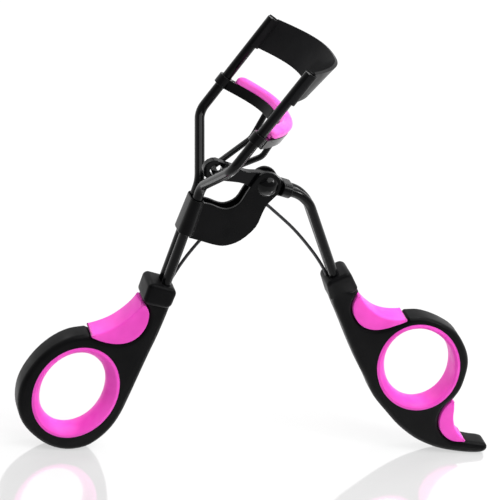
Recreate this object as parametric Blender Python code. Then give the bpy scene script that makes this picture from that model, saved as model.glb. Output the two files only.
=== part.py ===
"""Eyelash curler: two ring handles, a fixed upper jaw on two bent rods, and a lower
jaw that slides up those rods when the lever handle is squeezed.

Lengths below are in millimetres, measured from the hinge rivet in the plane of the
handles (X right, Z up); Y is the depth, 0 on the mid-plane.
"""
import math

import bmesh
import bpy
from mathutils import Matrix, Vector

MM = 0.001
PIVOT = Vector((-13.10, 0.0, 75.70))      # hinge rivet in the part's own frame

# rods of the fixed frame
ROD_R = 1.2
ROD_Y = 15.2                              # half the spacing of the jaw rods
ROD_PAIR_Y = 1.24                         # half the spacing where they run together
SLANT = math.radians(27.4)                # jaw rods lean from the vertical
UPPER_BEND = (-14.62, 10.5)
LOWER_BEND = (-15.95, -0.9)
SHANK = math.radians(8.2)                 # lean of the paired rods below the bend
ROD_TOP = 31.0                            # height along the slide line
SEG = 20

# jaws: heights are along the slide line, the bow is square to it
JAW_HALF = 15.9
BOW_POWER, BOW_ROOT = 2.53, 1.15
PLATE_T = 0.8
PLATE_LOW, PLATE_HIGH = 22.75, 31.1
PLATE_BOW_LOW, PLATE_BOW_HIGH = 8.5, 9.75 # the plate flares outwards towards its top
PLATE_RISE_LOW, PLATE_RISE_HIGH = 3.15, 3.7
WRAP_R, WRAP_SHIFT = 1.45, 0.35           # plate ends curl round the rods, open inside
BORE_FIXED = 1.27
CARRIER_BOW, CARRIER_SHIFT, CARRIER_RISE = 9.6, -0.1, 2.8
CHANNEL_LOW, CHANNEL_HIGH = 10.3, 12.8
CHANNEL_W, CHANNEL_WALL = 3.0, 0.6
PAD_TOP, PAD_HALF = 14.95, 1.45
EYE_LOW, EYE_HIGH = 10.8, 13.3
EYE_R, EYE_BORE = 1.8, 1.29

# lever, bracket, rivet and link
LEVER_HALF = 0.95
RIVET_R = 1.2
RIVET_HEAD_R, RIVET_HEAD_H = 2.2, 1.2
SHEET = 0.85
BRACKET_IN = 1.10                         # half gap between the bracket's cheeks
LINK_HOLE = (-13.2, 3.1)
LINK_HOLE_R = 1.45
LINK_PIN = (-13.34, 2.6)
LINK_R = 0.72
SPRING_R = 0.40

# handles
GRIP_HALF = 2.9
BLOCK_HALF = 3.7
BLOCK_CORNER = 1.0
EDGE_R = 0.85
RIM_W = 1.6
GAP = 0.04

SLIDE = Vector((math.sin(SLANT), 0.0, math.cos(SLANT)))
BOW = Vector((math.cos(SLANT), 0.0, -math.sin(SLANT)))
DEPTH = Vector((0.0, 1.0, 0.0))


def start_clean():
    for item in list(bpy.data.objects):
        bpy.data.objects.remove(item, do_unlink=True)
    for group in (bpy.data.meshes, bpy.data.materials):
        for block in list(group):
            group.remove(block)


# ---------------------------------------------------------------- helpers
def material(name, colour, roughness, metallic):
    mat = bpy.data.materials.new(name)
    mat.use_nodes = True
    shader = mat.node_tree.nodes["Principled BSDF"]
    shader.inputs["Base Color"].default_value = (*colour, 1.0)
    shader.inputs["Roughness"].default_value = roughness
    shader.inputs["Metallic"].default_value = metallic
    mat.diffuse_color = (*colour, 1.0)
    return mat


def node(name, bm, look, about_pivot=False, smooth=True):
    """Turn a bmesh in pivot millimetres into an object of its own."""
    bmesh.ops.recalc_face_normals(bm, faces=bm.faces)
    shift = Vector((0, 0, 0)) if about_pivot else PIVOT
    bmesh.ops.translate(bm, verts=bm.verts, vec=shift)
    bmesh.ops.scale(bm, verts=bm.verts, vec=Vector((MM, MM, MM)))
    mesh = bpy.data.meshes.new(name)
    bm.to_mesh(mesh)
    bm.free()
    mesh.shade_smooth() if smooth else mesh.shade_flat()
    item = bpy.data.objects.new(name, mesh)
    bpy.context.scene.collection.objects.link(item)
    if about_pivot:
        item.location = PIVOT * MM
    mesh.materials.append(material(name, *look))
    return item


def combine(base, tool, operation):
    """Boolean one bmesh with another and give back the result."""
    items = []
    for label, bm in (("base", base), ("tool", tool)):
        bmesh.ops.recalc_face_normals(bm, faces=bm.faces)
        mesh = bpy.data.meshes.new(label)
        bm.to_mesh(mesh)
        bm.free()
        item = bpy.data.objects.new(label, mesh)
        bpy.context.scene.collection.objects.link(item)
        items.append(item)
    items[1].hide_render = True
    items[1].display_type = "WIRE"
    modifier = items[0].modifiers.new("boolean", "BOOLEAN")
    modifier.operation = operation
    modifier.solver = "EXACT"
    modifier.object = items[1]
    graph = bpy.context.evaluated_depsgraph_get()
    result = bmesh.new()
    result.from_mesh(items[0].evaluated_get(graph).to_mesh())
    for item in items:
        bpy.data.objects.remove(item, do_unlink=True)
    bmesh.ops.remove_doubles(result, verts=result.verts, dist=1e-4)
    bmesh.ops.dissolve_degenerate(result, edges=result.edges, dist=1e-4)
    return result


def curve_through(points, per=4):
    """Smooth open curve through the points (centripetal-like Catmull-Rom)."""
    pts = [Vector(p) for p in points]
    ends = [pts[0] * 2 - pts[1]] + pts + [pts[-1] * 2 - pts[-2]]
    out = []
    for i in range(1, len(ends) - 2):
        a, b, c, d = ends[i - 1:i + 3]
        for k in range(per):
            t = k / per
            out.append(0.5 * (2 * b + (c - a) * t + (2 * a - 5 * b + 4 * c - d) * t ** 2
                              + (3 * b - a - 3 * c + d) * t ** 3))
    return out + [pts[-1]]


def rounded(points, radius, steps=5):
    """Open polyline with every inner corner turned into an arc."""
    pts = [Vector(p) for p in points]
    out = [pts[0]]
    for a, b, c in zip(pts, pts[1:], pts[2:]):
        u, v = (a - b).normalized(), (c - b).normalized()
        half = u.angle(v) / 2
        cut = min(radius / math.tan(half), (a - b).length * 0.48, (c - b).length * 0.48)
        r = cut * math.tan(half)
        centre = b + (u + v).normalized() * (r / math.sin(half))
        p, q = b + u * cut - centre, b + v * cut - centre
        turn = p.angle(q)
        for k in range(steps + 1):
            t = k / steps
            out.append(centre + (p * math.sin((1 - t) * turn) + q * math.sin(t * turn))
                       / math.sin(turn))
    return out + [pts[-1]]


def tube(path, radius, seg=SEG):
    """Round bar along a 3-D path with flat ends."""
    path = [Vector(p) for p in path]
    bm = bmesh.new()
    side = None
    rings = []
    for i, p in enumerate(path):
        tangent = (path[min(i + 1, len(path) - 1)] - path[max(i - 1, 0)]).normalized()
        if side is None:
            side = tangent.cross(DEPTH if abs(tangent.y) < 0.9 else Vector((1, 0, 0)))
        side = (side - tangent * side.dot(tangent)).normalized()
        up = tangent.cross(side)
        rings.append([bm.verts.new(p + radius * (side * math.cos(a) + up * math.sin(a)))
                      for a in (2 * math.pi * k / seg for k in range(seg))])
    for one, two in zip(rings, rings[1:]):
        for k in range(seg):
            bm.faces.new((one[k], one[(k + 1) % seg], two[(k + 1) % seg], two[k]))
    bm.faces.new(rings[0][::-1])
    bm.faces.new(rings[-1])
    return bm


def inset(outline, amount):
    """Outline moved inwards by amount; outline runs anticlockwise."""
    out = []
    n = len(outline)
    for i in range(n):
        a, b, c = outline[i - 1], outline[i], outline[(i + 1) % n]
        n1 = Vector((-(b - a).y, (b - a).x)).normalized()
        n2 = Vector((-(c - b).y, (c - b).x)).normalized()
        mid = (n1 + n2).normalized()
        out.append(b + mid * min(amount / max(mid.dot(n1), 0.3), amount * 1.6))
    return out


def rounded_loop(points, radius):
    """Closed outline with every corner turned into an arc."""
    start = (Vector(points[0]) + Vector(points[-1])) / 2
    return rounded([start, *points, start], radius)[1:]


def slab(outline, low, high, edge=0.0, steps=3):
    """Plate between two depths with rounded rims."""
    flat = [Vector((p[0], p[1])) for p in outline]
    area = sum(a.x * b.y - b.x * a.y for a, b in zip(flat, flat[1:] + flat[:1]))
    if area < 0:
        flat.reverse()
    if edge:
        levels = [(low + edge * (1 - math.cos(math.pi / 2 * k / steps)),
                   edge * (1 - math.sin(math.pi / 2 * k / steps))) for k in range(steps + 1)]
        levels += [(high - (y - low), d) for y, d in reversed(levels)]
    else:
        levels = [(low, 0.0), (high, 0.0)]
    bm = bmesh.new()
    rings = []
    for y, d in levels:
        ring = inset(flat, d) if d else flat
        rings.append([bm.verts.new((p.x, y, p.y)) for p in ring])
    n = len(flat)
    for one, two in zip(rings, rings[1:]):
        for k in range(n):
            bm.faces.new((one[k], one[(k + 1) % n], two[(k + 1) % n], two[k]))
    bm.faces.new(rings[0][::-1])
    bm.faces.new(rings[-1])
    return bm


def ellipse(centre, semi, lean, count=48):
    c, s = math.cos(lean), math.sin(lean)
    out = []
    for k in range(count):
        a = 2 * math.pi * k / count
        u, v = semi[0] * math.cos(a), semi[1] * math.sin(a)
        out.append((centre[0] + u * c - v * s, centre[1] + u * s + v * c))
    return out


def ring_solid(centre, semi, lean, section, count=48):
    """Closed ring: section lists (inward offset, depth, sideways shift)."""
    bm = bmesh.new()
    loops = []
    for inward, y, aside in section:
        at = (centre[0] + aside, centre[1])
        pts = ellipse(at, (semi[0] - inward, semi[1] - inward), lean, count)
        loops.append([bm.verts.new((x, y, z)) for x, z in pts])
    m = len(loops)
    for i in range(m):
        one, two = loops[i], loops[(i + 1) % m]
        for k in range(count):
            bm.faces.new((one[k], one[(k + 1) % count], two[(k + 1) % count], two[k]))
    return bm


def dome(centre, radius, height, side, seg=24, steps=4):
    """Domed rivet head whose flat face lies at the given depth."""
    bm = bmesh.new()
    rings = []
    ball = (radius ** 2 + height ** 2) / (2 * height)
    span = math.asin(min(1.0, radius / ball))
    for i in range(steps):
        a = span * (1 - i / steps)
        r, h = ball * math.sin(a), height - ball + ball * math.cos(a)
        rings.append([bm.verts.new((centre.x + r * math.cos(t), centre.y + side * h,
                                    centre.z + r * math.sin(t)))
                      for t in (2 * math.pi * k / seg for k in range(seg))])
    for one, two in zip(rings, rings[1:]):
        for k in range(seg):
            bm.faces.new((one[k], one[(k + 1) % seg], two[(k + 1) % seg], two[k]))
    tip = bm.verts.new((centre.x, centre.y + side * height, centre.z))
    for k in range(seg):
        bm.faces.new((rings[-1][k], rings[-1][(k + 1) % seg], tip))
    bm.faces.new(rings[0])
    return bm


def along_y(x, z, low, high, radius, seg=32):
    return tube([(x, low, z), (x, high, z)], radius, seg)


# ---------------------------------------------------------------- jaws
def bow(y):
    """Share of the full bow at depth y, 1 in the middle and 0 at the ends."""
    return max(0.0, 1 - abs(y / JAW_HALF) ** BOW_POWER) ** BOW_ROOT


def rod_foot(side):
    """Point of a jaw rod level with the rivet along the slide line."""
    bend = Vector((UPPER_BEND[0], side * ROD_Y, UPPER_BEND[1]))
    return bend - SLIDE * bend.dot(SLIDE)


BASE_B = rod_foot(1).dot(BOW)


def jaw_point(y, outward, height, reach, rise, shift=0.0):
    """Point beside the jaw line, moved out square to the bowed line."""
    step = 0.01
    slope = reach * (bow(y + step) - bow(y - step)) / (2 * step)
    normal = (BOW - DEPTH * slope).normalized()
    share = bow(y)
    return (DEPTH * y + BOW * (BASE_B + shift + reach * share) + normal * outward
            + SLIDE * (height + rise * share))


def jaw_sweep(section, half, count=30):
    """Sweep a section of jaw_point arguments along the jaw line."""
    bm = bmesh.new()
    rings = []
    for k in range(count + 1):
        y = half * math.sin(math.pi / 2 * (2 * k / count - 1))
        rings.append([bm.verts.new(jaw_point(y, *corner)) for corner in section])
    n = len(section)
    for one, two in zip(rings, rings[1:]):
        for k in range(n):
            bm.faces.new((one[k], one[(k + 1) % n], two[(k + 1) % n], two[k]))
    bm.faces.new(rings[0][::-1])
    bm.faces.new(rings[-1])
    return bm


def on_rod(side, low, high, radius, seg=28, shift=0.0):
    foot = rod_foot(side) + BOW * shift
    return tube([foot + SLIDE * low, foot + SLIDE * high], radius, seg)


def upper_jaw():
    half = PLATE_T / 2
    low = (PLATE_LOW, PLATE_BOW_LOW, PLATE_RISE_LOW)
    high = (PLATE_HIGH, PLATE_BOW_HIGH, PLATE_RISE_HIGH)
    section = [(-half, *low), (half, *low), (half, *high), (-half, *high)]
    body = jaw_sweep(section, 15.6)
    for side in (-1, 1):
        body = combine(body, on_rod(side, PLATE_LOW - 0.15, PLATE_HIGH + 0.1, WRAP_R,
                                    shift=WRAP_SHIFT), "UNION")
    for side in (-1, 1):
        body = combine(body, on_rod(side, PLATE_LOW - 3, PLATE_HIGH + 3, BORE_FIXED), "DIFFERENCE")
    return body


def carrier_section(corners):
    return [(u, h, CARRIER_BOW, CARRIER_RISE, CARRIER_SHIFT) for u, h in corners]


def lower_jaw():
    half, wall = CHANNEL_W / 2, CHANNEL_WALL
    low, high = CHANNEL_LOW, CHANNEL_HIGH
    section = [(-half, low), (half, low), (half, high), (half - wall, high),
               (half - wall, low + wall), (wall - half, low + wall), (wall - half, high),
               (-half, high)]
    body = jaw_sweep(carrier_section(section), 15.2)
    for side in (-1, 1):
        body = combine(body, on_rod(side, EYE_LOW, EYE_HIGH, EYE_R), "UNION")
    for side in (-1, 1):
        body = combine(body, on_rod(side, EYE_LOW - 3, EYE_HIGH + 3, EYE_BORE), "DIFFERENCE")
    return body


def soft_pad():
    neck = CHANNEL_W / 2 - CHANNEL_WALL - GAP
    low, lip, high = CHANNEL_LOW + CHANNEL_WALL + GAP, CHANNEL_HIGH + GAP, PAD_TOP
    right = [(neck, low), (neck, lip), (PAD_HALF, lip), (PAD_HALF, high - 0.6),
             (PAD_HALF * 0.8, high - 0.15), (PAD_HALF * 0.35, high)]
    section = right + [(-u, h) for u, h in reversed(right)]
    return jaw_sweep(carrier_section(section), 13.9)


# ---------------------------------------------------------------- frame
def shank_point(distance):
    """Point of the paired rods' line, a distance below the lower bend."""
    return (LOWER_BEND[0] - math.sin(SHANK) * distance,
            LOWER_BEND[1] - math.cos(SHANK) * distance)


def frame_rod(side):
    foot = rod_foot(side)
    end = shank_point(34.0)
    corner = [foot + SLIDE * ROD_TOP,
              (UPPER_BEND[0], side * ROD_Y, UPPER_BEND[1]),
              (LOWER_BEND[0], side * ROD_PAIR_Y, LOWER_BEND[1]),
              (end[0], side * ROD_PAIR_Y, end[1])]
    return tube(rounded(corner, 4.0), ROD_R)


def stadium_bar(start, end, radius, half, seg=12, swell=0.0):
    """Bar with a rounded-slot section, wide in depth, thicker by swell at its end."""
    axis = Vector((end[0] - start[0], 0, end[1] - start[1])).normalized()
    across = Vector((axis.z, 0, -axis.x))
    bm = bmesh.new()
    rings = []
    for p, r in ((start, radius), (end, radius + swell)):
        at = Vector((p[0], 0, p[1]))
        ring = []
        for centre, first in ((half, 0.0), (-half, math.pi)):
            for k in range(seg + 1):
                a = first + math.pi * k / seg
                ring.append(bm.verts.new(at + across * (r * math.cos(a))
                                         + DEPTH * (centre + r * math.sin(a))))
        rings.append(ring)
    n = len(rings[0])
    for k in range(n):
        bm.faces.new((rings[0][k], rings[0][(k + 1) % n], rings[1][(k + 1) % n], rings[1][k]))
    bm.faces.new(rings[0][::-1])
    bm.faces.new(rings[1])
    return bm


CHEEK = curve_through([(-15.6, -5.1), (-13.0, -5.45), (-10.1, -6.4), (-8.1, -6.3), (-6.1, -4.9),
                       (-5.0, -2.2), (-4.2, -0.2)], 3)
EAR = curve_through([(-3.6, 1.2), (-3.0, 2.4), (-2.0, 3.3), (-0.8, 3.75), (0.5, 3.6), (1.7, 3.0),
                     (2.7, 1.9), (3.2, 0.7), (3.3, -0.6), (3.0, -1.7), (2.3, -2.7)], 2)
CHEEK_LOW = curve_through([(1.7, -3.5), (0.85, -4.8), (0.2, -6.9), (-0.75, -11.0), (-3.75, -14.7),
                           (-7.1, -16.35), (-9.9, -16.3), (-13.2, -15.5), (-17.0, -14.6)], 3)


def cheek_outline():
    return CHEEK + EAR + CHEEK_LOW


def hinge_bracket():
    top, bottom = shank_point(3.55), shank_point(12.8)
    body = stadium_bar(top, bottom, 1.65, ROD_PAIR_Y, swell=0.3)
    for side in (-1, 1):
        low, high = sorted((side * BRACKET_IN, side * (BRACKET_IN + SHEET)))
        body = combine(body, slab(cheek_outline(), low, high), "UNION")
    body = combine(body, stadium_bar(shank_point(0.6), shank_point(16.0), BORE_FIXED, ROD_PAIR_Y),
                   "DIFFERENCE")
    slot = slab([(-15.3, -1.0), (-12.0, -1.0), (-12.0, -18.5), (-17.5, -18.5)],
                -BRACKET_IN, BRACKET_IN)
    body = combine(body, slot, "DIFFERENCE")
    return combine(body, along_y(0, 0, -4, 4, RIVET_R + 0.02), "DIFFERENCE")


def rivet():
    out = BRACKET_IN + SHEET + 0.02
    body = along_y(0, 0, -out - 0.1, out + 0.1, RIVET_R, 32)
    for side in (-1, 1):
        body = combine(body, dome(Vector((0, side * out, 0)), RIVET_HEAD_R, RIVET_HEAD_H, side),
                       "UNION")
    return body


SPRING_PATH = [(-19.2, -31.6), (-18.4, -27.4), (-16.3, -21.9), (-13.2, -16.1), (-9.4, -10.6),
               (-5.4, -6.5), (-2.2, -5.0), (0.95, -5.5), (4.2, -7.7), (9.5, -11.8),
               (14.1, -16.1), (18.1, -20.4), (21.2, -24.6), (22.7, -28.0)]


def return_spring():
    path = [(p.x, 0.0, p.y) for p in curve_through(SPRING_PATH, 4)]
    return tube(path, SPRING_R, 10)


# ---------------------------------------------------------------- lever
LEVER_TOP = curve_through([(-11.0, 4.95), (-8.3, 4.2), (-5.6, 3.2), (-2.4, 3.2), (1.0, 2.9),
                           (4.0, 1.2)], 3)
LEVER_LOW = curve_through([(4.0, -2.6), (1.0, -3.0), (-2.2, -2.3), (-5.6, -0.1), (-10.0, 0.35),
                           (-12.6, 0.45)], 3)
LEVER_START, LEVER_KNEE, LEVER_BEND = (3.9, -0.7), (8.7, -1.85), (11.7, -4.3)
LEVER_DIR = math.radians(29.0)


def lever_outline():
    paddle = []
    for k in range(9):
        a = math.radians(262 - k * 22)
        paddle.append(Vector((-13.7 + 2.65 * math.cos(a), 3.1 + 2.65 * math.sin(a))))
    return paddle + LEVER_TOP + LEVER_LOW


def lever_end(distance):
    return (LEVER_BEND[0] + math.sin(LEVER_DIR) * distance,
            LEVER_BEND[1] - math.cos(LEVER_DIR) * distance)


def collar_point(distance):
    run = (Vector(LEVER_KNEE) - Vector(LEVER_START)).normalized()
    return Vector(LEVER_START) + run * distance


def lever_plate():
    body = slab(lever_outline(), -LEVER_HALF, LEVER_HALF)
    body = combine(body, stadium_bar(collar_point(-0.25), collar_point(2.2), 1.75, ROD_PAIR_Y),
                   "UNION")
    body = combine(body, stadium_bar(collar_point(-0.06), collar_point(5), BORE_FIXED, ROD_PAIR_Y),
                   "DIFFERENCE")
    body = combine(body, along_y(LINK_HOLE[0], LINK_HOLE[1], -2, 2, LINK_HOLE_R), "DIFFERENCE")
    return combine(body, along_y(0, 0, -2, 2, RIVET_R + 0.06), "DIFFERENCE")


def lever_rod(side):
    y = side * ROD_PAIR_Y
    path = [(x, y, z) for x, z in (LEVER_START, LEVER_KNEE, LEVER_BEND, lever_end(26.5))]
    return tube(rounded(path, 3.0), ROD_R)


def link_yoke():
    """Bent wire from the channel through the lever's end and back up."""
    top = jaw_point(5.1, 0.0, CHANNEL_LOW - 0.12, CARRIER_BOW, CARRIER_RISE, CARRIER_SHIFT)
    half = [top, Vector((-4.2, 4.7, 9.4)), Vector((LINK_PIN[0], 1.9, LINK_PIN[1]))]
    far = [Vector((p.x, -p.y, p.z)) for p in reversed(half)]
    return tube(rounded(half + far, 1.3, 5), LINK_R, 14)


# ---------------------------------------------------------------- handles
LEFT = {
    "block": [(-24.5, -26.6), (-17.1, -28.4), (-18.1, -33.8), (-25.3, -32.4)],
    "top": (-24.1, -27.9),
    "outer": [(-17.7, -29.4), (-18.0, -33.7), (-19.4, -41.4), (-20.8, -47.3), (-22.2, -53.6),
              (-23.6, -60.0), (-24.8, -64.8), (-26.4, -68.7), (-28.9, -72.2), (-32.2, -74.8),
              (-36.9, -75.7), (-41.6, -74.5), (-45.8, -71.6), (-49.0, -68.0), (-50.8, -63.9),
              (-51.3, -59.5), (-50.75, -55.5), (-49.1, -51.4), (-46.9, -47.95), (-44.0, -45.0),
              (-40.6, -43.0), (-36.9, -42.2)],
    "seat": [(-36.9, -42.2), (-33.5, -43.6), (-30.0, -44.25), (-26.9, -43.8), (-24.5, -42.1),
             (-23.05, -39.3), (-22.8, -36.3), (-23.35, -34.3), (-24.9, -32.2)],
    "saddle": [(-24.9, -32.2), (-26.2, -34.7), (-28.2, -37.2), (-30.8, -39.5), (-33.8, -41.1),
               (-36.9, -42.2)],
    "eye": ((-37.3, -58.6), (13.2, 10.76), math.radians(86.6)),
    "belly": (0.95, -0.35),
}
RIGHT = {
    "block": [(20.0, -24.8), (25.6, -21.4), (29.8, -27.4), (23.1, -31.0)],
    "top": (20.8, -26.2),
    "outer": [(20.8, -26.2), (23.9, -31.8), (26.8, -36.4), (30.8, -43.0), (34.5, -48.75),
              (38.0, -53.75), (41.1, -58.4), (45.6, -63.0), (50.4, -67.5), (55.7, -71.2),
              (60.2, -73.3), (64.4, -74.6), (69.4, -75.4), (73.6, -75.7), (76.5, -75.1),
              (77.5, -73.8), (76.3, -72.6), (73.6, -72.2), (70.8, -71.9)],
    "tail_seat": [(70.8, -71.9), (66.8, -71.7), (64.15, -70.4), (62.2, -68.4), (61.15, -65.85),
                  (61.05, -63.1), (61.9, -60.7), (63.7, -58.6)],
    "crown": [(63.7, -58.6), (64.85, -55.7), (65.2, -51.6), (64.9, -47.7), (63.75, -44.6),
              (61.75, -41.5), (59.1, -38.6), (55.7, -36.6), (52.2, -35.2), (48.6, -34.4),
              (45.0, -34.6)],
    "seat": [(45.0, -34.6), (43.3, -35.25), (41.3, -36.6), (39.3, -37.6), (36.6, -38.15),
             (34.0, -37.8), (31.9, -36.65), (30.2, -34.85), (29.1, -32.75), (28.8, -30.4),
             (29.6, -27.5)],
    "saddle": [(29.6, -27.5), (31.2, -29.8), (33.6, -32.0), (36.5, -33.8), (39.6, -34.7),
               (42.4, -34.8), (45.0, -34.6)],
    "tail_saddle": [(63.7, -58.6), (64.45, -61.6), (65.05, -64.8), (66.9, -68.5), (70.8, -71.9)],
    "eye": ((51.1, -49.1), (13.8, 10.9), math.radians(122.8)),
    "belly": (0.35, 0.6),
}


def grip(shape, order, spring, sockets):
    """Handle body: ring, neck and rod block, with its eye and sockets cut."""
    outline = [Vector(shape["top"])]
    for key in order:
        pts = curve_through(shape[key], 3)
        outline += pts[1:] if (outline[-1] - pts[0]).length < 1e-6 else pts
    if (outline[0] - outline[-1]).length < 1e-6:
        outline.pop()
    body = slab(outline, -GRIP_HALF, GRIP_HALF, EDGE_R)
    body = combine(body, slab(rounded_loop(shape["block"], BLOCK_CORNER), -BLOCK_HALF, BLOCK_HALF, 0.7),
                   "UNION")
    centre, semi, lean = shape["eye"]
    body = combine(body, slab(ellipse(centre, semi, lean), -5, 5), "DIFFERENCE")
    body = combine(body, stadium_bar(sockets[0], sockets[1], BORE_FIXED, ROD_PAIR_Y),
                   "DIFFERENCE")
    return combine(body, tube([(p[0], 0, p[1]) for p in spring], SPRING_R + 0.1, 12),
                   "DIFFERENCE")


def spaced(points, count):
    """Points spread evenly along a polyline."""
    runs = [0.0]
    for p, q in zip(points, points[1:]):
        runs.append(runs[-1] + (q - p).length)
    out, k = [], 0
    for i in range(count):
        want = runs[-1] * i / (count - 1)
        while k < len(points) - 2 and runs[k + 1] < want:
            k += 1
        share = (want - runs[k]) / max(runs[k + 1] - runs[k], 1e-9)
        out.append(points[k].lerp(points[k + 1], min(1.0, share)))
    return out


def crescent(saddle, seat, count=26):
    """Soft pad between its hollow face and its seat in the handle."""
    front = spaced(curve_through(saddle, 5), count)
    back = spaced(curve_through(list(reversed(seat)), 5), count)
    h = GRIP_HALF - 0.05
    bm = bmesh.new()
    rings = []
    for a, b in list(zip(front, back))[1:-1]:
        deep = (b - a).length - GAP
        way = (b - a).normalized()
        e = min(0.35, deep * 0.3)
        loop = [(0, e - h), (0.3 * e, 0.3 * e - h), (e, -h), (deep, -h), (deep, h), (e, h),
                (0.3 * e, h - 0.3 * e), (0, h - e)]
        rings.append([bm.verts.new((a.x + way.x * u, y, a.y + way.y * u)) for u, y in loop])
    for one, two in zip(rings, rings[1:]):
        for k in range(8):
            bm.faces.new((one[k], one[(k + 1) % 8], two[(k + 1) % 8], two[k]))
    bm.faces.new(rings[0][::-1])
    bm.faces.new(rings[-1])
    return bm


def liner(shape):
    """Soft ring that lines a finger hole, bellied inwards."""
    centre, semi, lean = shape["eye"]
    more, aside = shape["belly"]
    w, h = RIM_W, GRIP_HALF
    front = [(GAP, -h, 0.0), (w * 0.45, -h - 0.1, 0.0), (w * 0.85, -h + 0.25, 0.1 * aside),
             (w + 0.4 * more, -h + 0.9, 0.5 * aside), (w + 0.1 + 0.9 * more, -1.0, 0.9 * aside)]
    section = (front + [(w + 0.1 + more, 0.0, aside)]
               + [(inward, -y, shift) for inward, y, shift in reversed(front)])
    return ring_solid(centre, semi, lean, section)


# ---------------------------------------------------------------- build
BLACK_METAL = ((0.013, 0.013, 0.014), 0.32, 0.75)
BLACK_SATIN = ((0.010, 0.010, 0.011), 0.42, 0.0)
PINK = ((0.80, 0.075, 0.53), 0.40, 0.0)
DARK_STEEL = ((0.05, 0.05, 0.055), 0.28, 0.9)


def build():
    start_clean()
    node("frame_rod_near", frame_rod(-1), BLACK_METAL)
    node("frame_rod_far", frame_rod(1), BLACK_METAL)
    node("upper_jaw", upper_jaw(), BLACK_METAL)
    node("hinge_bracket", hinge_bracket(), BLACK_METAL)
    node("pivot_rivet", rivet(), BLACK_METAL)
    node("return_spring", return_spring(), DARK_STEEL)
    left_socket = (shank_point(24.0), shank_point(34.3))
    left_spring = [(-19.25, -31.85)] + [(p.x, p.y) for p in curve_through(SPRING_PATH, 4)[1:9]]
    node("left_handle", grip(LEFT, ("outer", "seat"), left_spring, left_socket),
         BLACK_SATIN)
    node("left_ring_liner", liner(LEFT), PINK)
    node("left_thumb_pad", crescent(LEFT["saddle"], LEFT["seat"]), PINK)

    node("lever_plate", lever_plate(), BLACK_METAL, True)
    node("lever_rod_near", lever_rod(-1), BLACK_METAL, True)
    node("lever_rod_far", lever_rod(1), BLACK_METAL, True)
    right_socket = (lever_end(17.0), lever_end(26.8))
    right_spring = [(p.x, p.y) for p in curve_through(SPRING_PATH, 4)[-9:]]
    right_spring[-1] = (22.80, -28.23)
    order = ("outer", "tail_seat", "crown", "seat")
    node("right_handle", grip(RIGHT, order, right_spring, right_socket),
         BLACK_SATIN, True)
    node("right_ring_liner", liner(RIGHT), PINK, True)
    node("right_thumb_pad", crescent(RIGHT["saddle"], RIGHT["seat"]), PINK, True)
    node("right_tail_pad", crescent(RIGHT["tail_saddle"], RIGHT["tail_seat"]), PINK, True)

    node("lower_jaw", lower_jaw(), BLACK_METAL)
    node("silicone_pad", soft_pad(), PINK)
    node("link_yoke", link_yoke(), BLACK_METAL)


build()
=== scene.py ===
"""Looks of the eyelash curler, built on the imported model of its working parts.

Shapes are given in millimetres from the hinge rivet (X right, Z up, Y depth) and
moved into the model's own frame when each piece is made.
"""
import math

import bmesh
import bpy
from mathutils import Matrix, Vector


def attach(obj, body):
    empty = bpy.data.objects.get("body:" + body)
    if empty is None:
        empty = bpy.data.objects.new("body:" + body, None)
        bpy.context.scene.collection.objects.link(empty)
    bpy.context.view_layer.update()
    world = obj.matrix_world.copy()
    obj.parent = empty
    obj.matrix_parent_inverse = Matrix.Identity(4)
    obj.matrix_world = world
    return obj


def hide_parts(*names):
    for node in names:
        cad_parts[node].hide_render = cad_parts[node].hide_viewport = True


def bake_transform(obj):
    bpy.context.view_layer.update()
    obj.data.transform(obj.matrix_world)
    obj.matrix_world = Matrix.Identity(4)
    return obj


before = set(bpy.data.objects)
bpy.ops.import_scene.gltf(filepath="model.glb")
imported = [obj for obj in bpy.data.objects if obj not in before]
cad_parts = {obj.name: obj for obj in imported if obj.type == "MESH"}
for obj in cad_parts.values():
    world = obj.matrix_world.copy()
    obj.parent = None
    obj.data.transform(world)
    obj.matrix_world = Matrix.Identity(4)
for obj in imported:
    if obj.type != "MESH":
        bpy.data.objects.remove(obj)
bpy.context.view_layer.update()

MM = 0.001
PIVOT = Vector((-13.10, 0.0, 75.70))      # hinge rivet in the model's frame

# rods of the fixed frame
ROD_R = 1.2
ROD_Y = 15.2                              # half the spacing of the jaw rods
ROD_PAIR_Y = 1.24                         # half the spacing where they run together
SLANT = math.radians(27.4)                # jaw rods lean from the vertical
UPPER_BEND = (-14.62, 10.5)
LOWER_BEND = (-15.95, -0.9)
SHANK = math.radians(8.2)                 # lean of the paired rods below the bend
ROD_TOP = 31.0                            # height along the slide line
ROD_END = 34.0                            # length of the paired rods below the bend
ROD_BEND = 4.0                            # radius that eases each bend
SEG = 32                                  # sides of a round bar

# jaws: heights are along the slide line, the bow is square to it
JAW_HALF = 15.9
BOW_POWER, BOW_ROOT = 2.53, 1.15
PLATE_T, PLATE_HALF = 0.8, 15.6
PLATE_LOW, PLATE_HIGH = 22.75, 31.1
PLATE_BOW_LOW, PLATE_BOW_HIGH = 8.5, 9.75  # the plate flares outwards towards its top
PLATE_RISE_LOW, PLATE_RISE_HIGH = 3.15, 3.7
WRAP_R, WRAP_SHIFT = 1.45, 0.35           # plate ends curl round the rods, open inside
WRAP_LOW, WRAP_HIGH = PLATE_LOW + 0.25, PLATE_HIGH + 0.1
BORE_FIXED = 1.27                         # bore that holds a rod fast
DRILL = 3                                 # how far a cutter runs past what it cuts
CARRIER_BOW, CARRIER_SHIFT, CARRIER_RISE = 9.6, -0.1, 2.8
CHANNEL_LOW, CHANNEL_HIGH = 10.3, 12.8
CHANNEL_W, CHANNEL_WALL, CHANNEL_HALF = 3.0, 0.6, 15.2
PAD_TOP, PAD_HALF, PAD_REACH = 14.95, 1.45, 14.0
EYE_LOW, EYE_HIGH = 10.8, 13.3
EYE_R, EYE_BORE = 1.8, 1.29

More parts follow.
